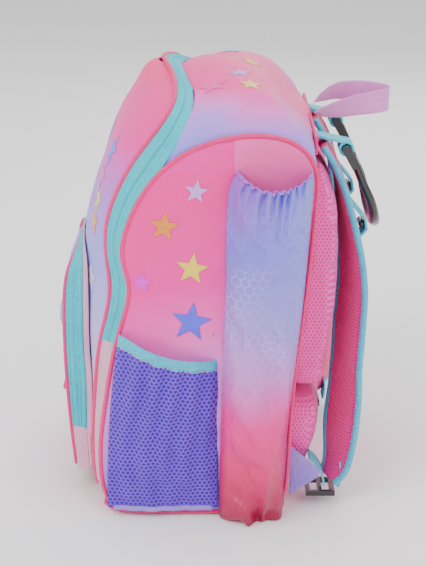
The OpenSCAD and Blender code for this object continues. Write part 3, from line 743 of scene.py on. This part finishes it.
def star(name, ob, body, code, centre, size, direction, spin):
    """A thin printed star that follows the surface under it. centre is a point, size its width."""
    d = np.array(direction, float)
    u = unit(np.cross(np.array([0.0, 0.0, 1.0]), d))
    v = np.cross(d, u)
    tree = BVHTree.FromObject(ob, bpy.context.evaluated_depsgraph_get())
    rings, fine, notch, lift = 5, 3, 0.42, 0.0004
    tips = []
    for i in range(11):
        reach, w = size * 0.5 * (1 if i % 2 == 0 else notch), math.radians(36 * i + spin)
        tips.append(reach * (math.sin(w) * u + math.cos(w) * v))
    rim = [a + (b - a) * k / fine for a, b in zip(tips, tips[1:]) for k in range(fine)]
    verts = []
    for i in range(rings + 1):
        for p in rim:
            q = np.array(centre) + p * max(0.03, i / rings)
            hit = tree.ray_cast(Vector(q + d * 0.08), Vector(-d))
            verts.append(np.array(hit[0] if hit[0] is not None else q) + d * lift)
    n = len(rim)
    piece = thickened(new_object(name, verts, grid_faces(rings + 1, n) + [list(range(n))]), 0.0003)
    key = f"print_{code.strip('#')}"
    if key not in looks:
        looks[key] = woven(key, code, code, 0.0009, 0.4, 0.2)
        SLOTS[key] = "pink_shell"
    return dress(piece, key, body)


def stars(group, ob, body, spin, rows):
    """Prints stars on a piece, from rows of a name, a colour, a point and a size in mm, and a direction."""
    for name, code, centre, size, direction in rows:
        star(f"{group}_star_{name}", ob, body, code, vec([centre])[0], size * MM, direction, spin)


def side_stars(side, sign, ob):
    stars("side", ob, BAG, 8, [
        (f"{name}_{side}", code, (sign * 140, y, z), size, (sign, 0, 0)) for name, code, y, z, size in (
            ("lilac", "#D9B8F0", -19, 308, 22), ("gold", "#E09A28", -47, 277, 27),
            ("yellow", "#FFD648", -23, 239, 30), ("magenta", "#FF86E4", -67, 226, 20),
            ("blue", "#8080E6", -24, 190, 37))])


# ---- Top, back and base ----

def top_gusset():
    ob = from_node("top_gusset", "top_cloth")

    def move(p, n):
        edge = min(1.0, max(0.0, (p.z - 0.30) / 0.04))
        return edge * (0.006 * ripple(p, 0.06, 5.0, 3) + 0.003 * max(0, creased(p, 0.06, 2.0) - 0.3))

    shaped(ob, move)
    dress(ob, "gusset", BAG, "top_gusset")
    up = (0.25, 0.1, 0.96)
    stars("top", ob, BAG, 20, [(name, code, (x, y, 390), size, up) for name, code, x, y, size in (
        ("lilac", "#D8B4F4", 60, 18, 24), ("yellow", "#F8D878", 88, 28, 22), ("pink", "#FF86B8", 84, -4, 26),
        ("gold", "#F0C060", 10, 30, 22), ("blue", "#9C9CF0", -50, 10, 26))])


def web(node, name, look, body, width):
    """A CAD node of webbing, with softened edges."""
    return dress(bevelled(node, name, width), look, body, node)


def cushion(node, name, look, width=0.001, segments=2):
    """A CAD node of the bag with rounded edges and finer faces."""
    return dress(subdivided(bevelled(node, name, width, segments), 1, True), look, BAG, node)


def back_and_base():
    cushion("back_panel", "back_cloth_panel", "back")
    cushion("base_panel", "base_cloth_panel", "base")
    cushion("strap_anchor_patch", "anchor_patch_cloth", "piping", 0.001, 3)
    (x0, _, z0), (x1, y1, z1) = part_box("strap_anchor_patch")
    edge, out = 0.003, y1 + 0.0003
    for name, z in (("upper", z1 - edge), ("lower", z0 + edge)):
        stitches(f"anchor_thread_{name}", [(x0 + edge, out, z), (x1 - edge, out, z)], BAG, "thread")
    keep_node("back_stiffener", "board")
    keep_node("base_board", "board")


def back_pads():
    def move(p, n):
        if n.y < 0.3:
            return 0.0
        channel = math.exp(-(abs(p.x) / 0.004) ** 2) * 0.005
        return -channel + 0.0012 * ripple(p, 0.04, 7.0)

    for part in ("upper", "lower"):
        ob = new_object(f"back_pad_cloth_{part}", *node_mesh(f"back_pad_{part}"))
        shaped(puffed(ob, 0.006, 0.005), move)
        dress(ob, "back_mesh", BAG, f"back_pad_{part}")


# ---- Piping, zips and gussets ----

BAND_DEPTH = 0.0009
TOOTH_PITCH, TOOTH_RADIUS = 0.0022, 0.0007


def band(name, a, b, shares, ends, steps, ridges, height, base=0.0):
    """A tape between two shares of the width from curve a to b, with ridges along it."""
    across = 14
    (f0, f1), (s0, s1) = shares, ends
    rows = []
    for k in range(steps + 1):
        s = s0 + (s1 - s0) * k / steps
        p, n = along(a, s), strip_normal(a, b, s)
        w = along(b, s) - p
        high, low = [], []
        for j in range(across + 1):
            t = j / across
            rise = height * (0.5 - 0.5 * math.cos(2 * math.pi * ridges * t))
            high.append(p + (f0 + (f1 - f0) * t) * w + n * (base + rise))
            low.append(p + (f0 + (f1 - f0) * t) * w + n * (base - BAND_DEPTH))
        rows.append(high + low[::-1])
    return grid_object(name, rows, closed=True)


def coil(name, a, b, shares, ends, height):
    """A row of short teeth between two shares of the width from curve a to b."""
    sides = 6
    (f0, f1), (s0, s1) = shares, ends
    count = int(lengths([along(a, s0 + (s1 - s0) * k / 200) for k in range(201)])[-1] / TOOTH_PITCH)
    profile = ((0, 0.2, 0.8), (0.3, 1, 1), (0.7, 1, 1), (1, 0.2, 0.8))
    verts, faces = [], []
    for i in range(count):
        s = s0 + (s1 - s0) * (i + 0.5) / count
        p, up = along(a, s), strip_normal(a, b, s)
        w = along(b, s) - p
        t = unit(along(a, s + 0.02) - along(a, s - 0.02))
        faces += capped_faces(len(profile), sides, len(verts))
        for share, rise, wide in profile:
            centre = p + (f0 + (f1 - f0) * share) * w + up * height * rise
            r = TOOTH_RADIUS * wide
            verts += [centre + r * (math.cos(q) * t + math.sin(q) * up) for q in turns(sides)]
    return new_object(name, verts, faces)


def one_zip(name, a, b, end, centre, steps, ridge, rise, halves):
    """Two tapes, then two rows of teeth. Each half has its body and the shares of its tape and teeth."""
    ends = (end, 2 * centre - end)
    for half, body, tape, _ in halves:
        cloth = band(f"{name}_tape_{half}_cloth", a, b, tape, ends, steps, 2, ridge)
        dress(cloth, "tape", body, f"{name}_zip_tape_{half}")
    for half, body, _, teeth in halves:
        row = coil(f"{name}_teeth_{half}_coil", a, b, teeth, ends, rise)
        dress(row, "teeth", body, f"{name}_zip_teeth_{half}")


def zips():
    one_zip("main", front_curve, rear_curve, ZIP_END, CENTRE, 150, 0.0011, 0.0003, (
        ("front", FLAP, (0.05, 0.490), (0.465, 0.503)), ("rear", BAG, (0.510, 0.99), (0.497, 0.535))))
    one_zip("pocket", pocket_edge, pocket_seam, POCKET_ZIP_END, POCKET_CENTRE, 110, 0.001, 0.0002, (
        ("front", POCKET, (0.04, 0.378), (0.345, 0.39)), ("rear", FLAP, (0.392, 0.73), (0.38, 0.425))))


def soft_node(node, name, look, body):
    """A CAD node with smoother, finer faces."""
    return dress(from_node(node, name), look, body, node)


def pipings():
    for side, _ in SIDES:
        soft_node(f"side_piping_{side}", f"side_piping_cord_{side}", "piping", BAG)
    soft_node("front_piping", "front_piping_cord", "piping", FLAP)
    soft_node("pocket_piping", "pocket_piping_cord", "piping", POCKET)


def blended(ob, a, b, start, end, top=None):
    """A gusset between two bodies; above top, its points go with the first alone."""
    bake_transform(ob, a, b, start, end)
    if top is not None:
        for v, d in zip(ob.data.vertices, ob.data.attributes["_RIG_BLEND"].data):
            if v.co.z > top:
                d.value = 0.0


def zip_ends(sign, end, centre, lap):
    """The stretch of a zip's curves from the bag's base to lap past the zip's end."""
    return (0.0, end + lap) if sign > 0 else (2 * centre - end - lap, 2 * centre)


def gussets():
    for side, sign in SIDES:
        ends = zip_ends(sign, ZIP_END, CENTRE, 0.04)
        ob = band(f"corner_gusset_cloth_{side}", front_curve, rear_curve, (0.04, 0.96), ends, 60, 1, 0.0012)
        dress(ob, "lining", None, f"corner_gusset_{side}")
        blended(ob, BAG, FLAP, (0, -0.094, 0.10), (0, -0.112, 0.10))
    pocket_span = ((0, -0.119, 0.05), (0, -0.134, 0.05))
    ob = soft_node("pocket_gusset", "pocket_gusset_cloth", "lining", None)
    blended(ob, FLAP, POCKET, *pocket_span, 0.075)
    for side, sign in SIDES:
        ends = zip_ends(sign, POCKET_ZIP_END, POCKET_CENTRE, 0.03)
        ob = band(f"pocket_end_cloth_{side}", pocket_edge, pocket_seam, (0.05, 0.74), ends, 24,
                  1, 0.0008, 0.0003)
        blended(dress(ob, "lining"), FLAP, POCKET, *pocket_span)


# ---- Front panel and its pocket ----

def front_panel():
    ob = from_node("front_panel", "front_cloth_panel")

    def move(p, n):
        edge = min(1.0, (0.126 - abs(p.x)) / 0.02)
        free = 1.0 if p.z > 0.25 else 0.25
        return free * edge * (0.004 * ripple(p, 0.07, 9.0, 3) + 0.0016 * max(0, creased(p, 0.08, 4.0) - 0.3))

    shaped(ob, move)
    dress(ob, "front", FLAP, "front_panel")
    stars("front", ob, FLAP, 10, [
        (name, code, (x, -130, z), size, (math.copysign(0.5, x) if abs(x) > 60 else 0.0, -0.86, 0.0))
        for name, code, x, z, size in (
            ("blue", "#8FA0F0", 92, 328, 26), ("pink", "#FF9CC8", 88, 305, 24),
            ("yellow", "#F8DC80", 102, 286, 26), ("gold", "#E8B048", 104, 268, 26),
            ("white", "#F4EEFF", 96, 214, 30),
            ("yellow_far", "#F8DC80", -70, 300, 30), ("blue_far", "#8FA0F0", -20, 330, 34),
            ("lilac_far", "#DCC0F4", 20, 275, 28))])


def front_pocket():
    ob = from_node("pocket_face", "pocket_cloth_face")
    shaped(ob, lambda p, n: 0.0012 * ripple(p, 0.05, 2.5))
    dress(ob, "pocket", POCKET, "pocket_face")


def puffy_star():
    """A padded five-pointed star, highest in its middle."""
    (x0, y0, _), (x1, y1, z1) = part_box("pocket_star")
    size = 0.024
    cx, cz = (x0 + x1) / 2, z1 - size
    n, rings = 60, 8
    verts = []
    for i in range(rings + 1):
        share = 1 - i / rings * 0.98
        thick = (y1 - y0) * (1 - share ** 2.4) ** 0.6
        for j in range(n):
            leg = abs(((j * 10 / n) % 2) - 1)
            reach = size * (0.52 + 0.48 * leg ** 1.2) * share
            w = 2 * math.pi * j / n + math.pi / 5
            verts.append((cx + reach * math.sin(w), y1 - thick, cz + reach * math.cos(w)))
    ob = new_object("pocket_star_puffy", verts, capped_faces(rings + 1, n))
    dress(ob, "teal_star", POCKET, "pocket_star")


def pocket_trim():
    """Bead-like pompoms that hang in a row."""
    (x0, y0, z0), (x1, _, z1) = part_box("pocket_trim")
    n, edge, radius = 15, 0.003, 0.0031
    verts, faces = [], []
    for k in range(n):
        t = k / (n - 1)
        c = Vector((x0 + edge + (x1 - x0 - 2 * edge) * t, y0 + 0.0032 + 0.0025 * (2 * t - 1) ** 2,
                    z1 - edge - (z1 - z0 - 2 * edge) * hump(t)))
        bm = bmesh.new()
        bmesh.ops.create_icosphere(bm, subdivisions=3, radius=radius)
        base = len(verts)
        for v in bm.verts:
            verts.append(c + v.co * (1 + 0.12 * noise.noise(v.co * 1500 + Vector((k, 0, 0)))))
        faces += [[base + v.index for v in f.verts] for f in bm.faces]
        bm.free()
    dress(new_object("pocket_trim_beads", verts, faces), "piping", POCKET, "pocket_trim")


# ---- Side pockets ----

def mesh_point(u, v, out, sign):
    """Point on the mesh pocket: u from its front edge to its rear one, v from its hem to its mouth."""
    low, rear = 0.010, -0.0006
    height = low + v * (along(mesh_mouth, 3 * u)[1] - low)
    front = -0.101 + 0.013 * v * v
    y = front + u * (rear - front)
    swell = 0.017 * hump(u) ** 0.75 * max(0.0, math.sin(math.pi / 2 * v)) ** 0.6
    folds = 0.0028 * math.sin(u * 34 + 2.2 * math.sin(5 * v) + v * 3) * (0.25 + 0.75 * v ** 0.7)
    folds *= math.sin(math.pi * u) ** 0.6
    soft = 0.006 * ripple((SIDE_X + 0.004, y, height), 0.035, 4.0, 2) * math.sin(math.pi * u)
    stand = max(0.0, swell + (folds + soft) * (1 - v ** 14))
    return np.array([sign * (SIDE_X + PANEL_LIFT + out + stand), y, height])


def mouth_roll(point, steps, middle, half, depth, sides, sign):
    """Rings of a closed roll along a pocket's mouth, from middle - half to middle + half of its height."""
    return [[point(j / steps, middle + half * math.sin(w), depth * math.cos(w), sign) for w in turns(sides)]
            for j in range(steps + 1)]


def pocket_line(point, v, out, steps, sign):
    """A line of points across a pocket at the share v of its height, out from its cloth."""
    return [point(j / steps, v, out, sign) for j in range(steps + 1)]


def pocket_rows(point, steps, rings, top, sign):
    """Lines across a pocket's cloth, from its bottom to the share top of its height."""
    return [pocket_line(point, i / rings * top, 0, steps, sign) for i in range(rings + 1)]


def mesh_pockets():
    for side, sign in SIDES:
        rows = pocket_rows(mesh_point, 80, 60, 0.95, sign)
        ob = grid_object(f"mesh_pocket_cloth_{side}", rows, 0.0009)
        dress(ob, "mesh", BAG, f"mesh_pocket_{side}")
        rows = mouth_roll(mesh_point, 80, 0.965, 0.035, 0.0014, 14, sign)
        ob = grid_object(f"mesh_binding_cloth_{side}", rows, closed=True)
        dress(ob, "binding", BAG, f"mesh_binding_{side}")
        rows = [[mesh_point(j / 40, 0.012, 0.0008, sign) - np.array([0, 0, 0.0016 * i]) for j in range(2, 39)]
                for i in range(4)]
        dress(grid_object(f"mesh_hem_cloth_{side}", rows, 0.0012), "wing", BAG)
        path = pocket_line(mesh_point, 0.935, 0.0018, 60, sign)
        stitches(f"mesh_binding_thread_{side}", path, BAG, "thread")


def bottle_point(u, v, out, sign):
    """Point on the bottle pocket: u from its front edge to its rear one, v from its bottom to its mouth."""
    f, r = along(bottle_front, 4 * v), along(bottle_rear, 4 * v)
    z = f[1] - 0.012 * v ** 6 * math.sin(math.pi * u)
    y = f[0] + u * (r[0] - f[0])
    grow = 0.72 + 0.28 * math.sin(math.pi / 2 * min(1, 4 * v))
    s = max(0.0, hump(u))
    swell = 0.034 * grow * s ** 0.55
    creases = 0.0125 * (creased((y * 1.7, z * 0.42, 0.3), 0.042, 2.2) - 0.35)
    creases += 0.010 * ripple((0.15, y, z), 0.045, 8.0, 3)
    creases += 0.0045 * (creased((y * 1.2 + z * 0.5, z * 0.7, 0.9), 0.024, 6.0) - 0.4)
    low = max(0.0, 1 - v / 0.16)
    creases += low * 0.013 * (creased((y, z * 1.4, 0.1), 0.028, 5.0) - 0.5)
    high = max(0.0, (v - 0.84) / 0.16)
    gather = 0.0046 * math.sin(u * 62 + 1.8 * math.sin(9 * u)) * min(1.0, max(0.0, (v - 0.58) / 0.34)) ** 1.5
    gather += 0.0032 * math.sin(u * 97 + 0.7) * high
    swell += (creases * (1 - high) + gather) * s ** 0.5
    tuck = low * 0.006 * math.sin(math.pi * u) * (1 - 2 * u)
    return np.array([sign * (SIDE_X + PANEL_LIFT + out + max(0.0, swell)), y + tuck, max(z, 0.0012)])


def bottle_floor(u, sign):
    """Point on the pocket's lowest row, drawn in to close its bottom."""
    x, y, _ = bottle_point(u, 0, 0, 1)
    return np.array([sign * (x - 0.9 * (x - SIDE_X - 0.003)), y, 0.0012])


def bottle_pockets():
    for side, sign in SIDES:
        steps = 110
        rows = [[bottle_floor(j / steps, sign) for j in range(steps + 1)]]
        rows += pocket_rows(bottle_point, steps, 130, 0.915, sign)
        ob = grid_object(f"bottle_pocket_cloth_{side}", rows, 0.001)
        dress(ob, "bottle", BAG, f"bottle_pocket_{side}")
        rows = mouth_roll(bottle_point, 140, 0.957, 0.043, 0.0022, 16, sign)
        ob = grid_object(f"bottle_casing_cloth_{side}", rows, closed=True)
        dress(ob, "bottle", BAG, f"bottle_casing_{side}")
        path = pocket_line(bottle_point, 0.912, 0.0014, 120, sign)
        stitches(f"bottle_casing_thread_{side}", path, BAG, "pink_thread")


# ---- Straps, handle and ribbon ----

def strap_pad(side, sign, out, inn):
    thickness = 0.0082
    shares = [(0.02, 0), (0.08, 0.8), (0.2, 1), (0.5, 1.05), (0.8, 1), (0.92, 0.8), (0.98, 0)]
    last, steps = len(out) - 1, 70
    rows = []
    for k in range(steps + 1):
        s = last * k / steps
        p, n = along(out, s), strip_normal(out, inn, s)
        w = along(inn, s) - p
        inner = [p + f * w - n * thickness / 2 * h for f, h in shares]
        outer = [p + f * w + n * thickness / 2 * h for f, h in shares[-2:0:-1]]
        rows.append(sided(inner + outer, sign))
    ob = grid_object(f"strap_pad_cloth_{side}", rows, closed=True)
    bm = bmesh.new()
    bm.from_mesh(ob.data)
    bmesh.ops.holes_fill(bm, edges=[e for e in bm.edges if e.is_boundary])
    bmesh.ops.recalc_face_normals(bm, faces=bm.faces)
    bm.to_mesh(ob.data)
    bm.free()
    shaped(subdivided(ob), lambda p, n: 0.0012 * ripple(p, 0.03, 6.0))
    dress(ob, "strap_mesh", f"strap_{side}", f"strap_pad_{side}")
    ob.data.materials.append(looks["strap_out"])
    for poly in ob.data.polygons:
        poly.material_index = 1 if (poly.normal.y > 0.15 and poly.center.z > 0.03) else 0


def straps():
    out, inn = vec(STRAP_OUT + [(117, 109, 21)]), vec(STRAP_IN + [(98, 98, 24)])
    for side, sign in SIDES:
        body = f"strap_{side}"
        strap_pad(side, sign, out, inn)
        for edge, pts in (("outer", out), ("inner", inn)):
            path = sided(curve(pts, 90), sign)
            cord = tube_object(f"strap_binding_{edge}_{side}", path, 0.0030, 12, 1.5, (1, 0, 0))
            dress(cord, "binding", body)
        web(f"strap_loop_{side}", f"strap_loop_web_{side}", "webbing", body, 0.0005)
        lower = from_node(f"strap_webbing_{side}", f"strap_web_{side}", 0)
        dress(lower, "webbing", body, f"strap_webbing_{side}")
        (x0, _, z0), (x1, y1, _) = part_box(f"strap_loop_{side}")
        bar = [np.array([x, y1 - 0.006, z0 + 0.012]) for x in np.linspace(x0 + 0.001, x1 - 0.001, 7)]
        dress(tube_object(f"strap_loop_bar_{side}", bar, 0.0026, 12), "black", body)
        web(f"lower_webbing_{side}", f"lower_web_{side}", "webbing", BAG, 0.0004)
        web(f"handle_chape_{side}", f"chape_web_{side}", "webbing", BAG, 0.0005)
        cushion(f"wing_{side}", f"wing_cloth_{side}", "wing", 0.0008, 3)
        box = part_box(f"wing_{side}")
        x = box[1][0] + 0.0003 if sign > 0 else box[0][0] - 0.0003
        triangle = [(0.070, 0.055), (0.090, 0.035), (0.070, 0.019), (0.070, 0.055)]
        stitches(f"wing_thread_{side}", [(x, y, z) for y, z in triangle], BAG, "thread")
        keep_node(f"ladder_lock_{side}", "black")


def grab_handle():
    path = curve(whole(vec(HANDLE_LINE)), 90)

    def radius(t):
        return 0.0052 - 0.0009 * math.cos(2 * math.pi * t)

    ob = tube_object("handle_grip", path, radius, 18, 0.85, (0, 0.6, 0.8))
    dress(ob, "black", "handle", "grab_handle")
    keep_node("handle_end_loops", "black")


def hang_ribbon():
    """A satin ribbon that twists on its way out to a fold, and twists back again beside itself."""
    centre = vec(RIBBON_LINE)
    last, steps, columns = len(centre) - 1, 90, 10
    rows = []
    for k in range(steps + 1):
        s = last * k / steps
        p = along(centre, s)
        d = unit(along(centre, min(last, s + 0.05)) - along(centre, max(0, s - 0.05)))
        angle = math.radians(8 + 76 * math.sin(math.pi * k / steps) ** 0.8)
        across = np.array([math.cos(angle), 0.0, math.sin(angle)])
        across = unit(across - d * float(np.dot(across, d)))
        rows.append([p + across * (j / columns - 0.5) * RIBBON_WIDTH for j in range(columns + 1)])
    ob = grid_object("hang_ribbon_cloth", rows, 0.0007)
    dress(ob, "ribbon", "hang_ribbon", "hang_loop")


def hardware():
    for n in ("main_slider_upper", "main_slider_lower", "pocket_slider"):
        keep_node(n, "slider")
    for n in ("main_pull_upper", "main_pull_lower", "pocket_pull"):
        keep_node(n, "pull")


# ---- Stage ----

TARGET = Vector((0, -0.0049, 0.178))
DISTANCE = 1.45
ELEVATION = math.radians(18.5)
LENS = 94.77
DAYLIGHT = 0.9


def stage():
    floor = new_object("floor", [(-4, -4, 0), (4, -4, 0), (4, 4, 0), (-4, 4, 0)], [[0, 1, 2, 3]], False)
    k = Look("floor_paint", 0.9)
    floor.data.materials.append(k.done(k.mix("#FFFFFF", "#FAFAFA", k.noise(3, 2))))
    world = bpy.data.worlds.new("studio")
    bpy.context.scene.world = world
    world.use_nodes = True
    background = world.node_tree.nodes["Background"]
    background.inputs["Color"].default_value = (1, 1, 1, 1)
    background.inputs["Strength"].default_value = DAYLIGHT
    for name, spot, size, power in [("key", (1.5, -1.3, 1.9), 1.4, 44), ("fill", (1.6, 1.5, 1.0), 1.6, 18),
                                    ("top", (-0.4, 0.0, 2.2), 1.8, 24), ("rear", (-1.6, 0.6, 1.2), 1.2, 10)]:
        light = bpy.data.lights.new(name, "AREA")
        light.size, light.energy = size, power
        ob = bpy.data.objects.new(name, light)
        ob.location = spot
        ob.rotation_euler = (TARGET - Vector(spot)).to_track_quat("-Z", "Y").to_euler()
        bpy.context.scene.collection.objects.link(ob)
    camera = bpy.data.cameras.new("camera")
    camera.sensor_width = 36.0
    camera.lens = LENS
    eye = TARGET + DISTANCE * Vector((math.cos(ELEVATION), 0, math.sin(ELEVATION)))
    ob = bpy.data.objects.new("camera", camera)
    ob.location = eye
    ob.rotation_euler = (TARGET - eye).to_track_quat("-Z", "Y").to_euler()
    bpy.context.scene.collection.objects.link(ob)
    bpy.context.scene.camera = ob


stage()
for side, sign in SIDES:
    side_stars(side, sign, side_panel(side, sign))
top_gusset()
back_and_base()
back_pads()
pipings()
zips()
gussets()
front_panel()
front_pocket()
puffy_star()
pocket_trim()
mesh_pockets()
bottle_pockets()
straps()
grab_handle()
hang_ribbon()
hardware()
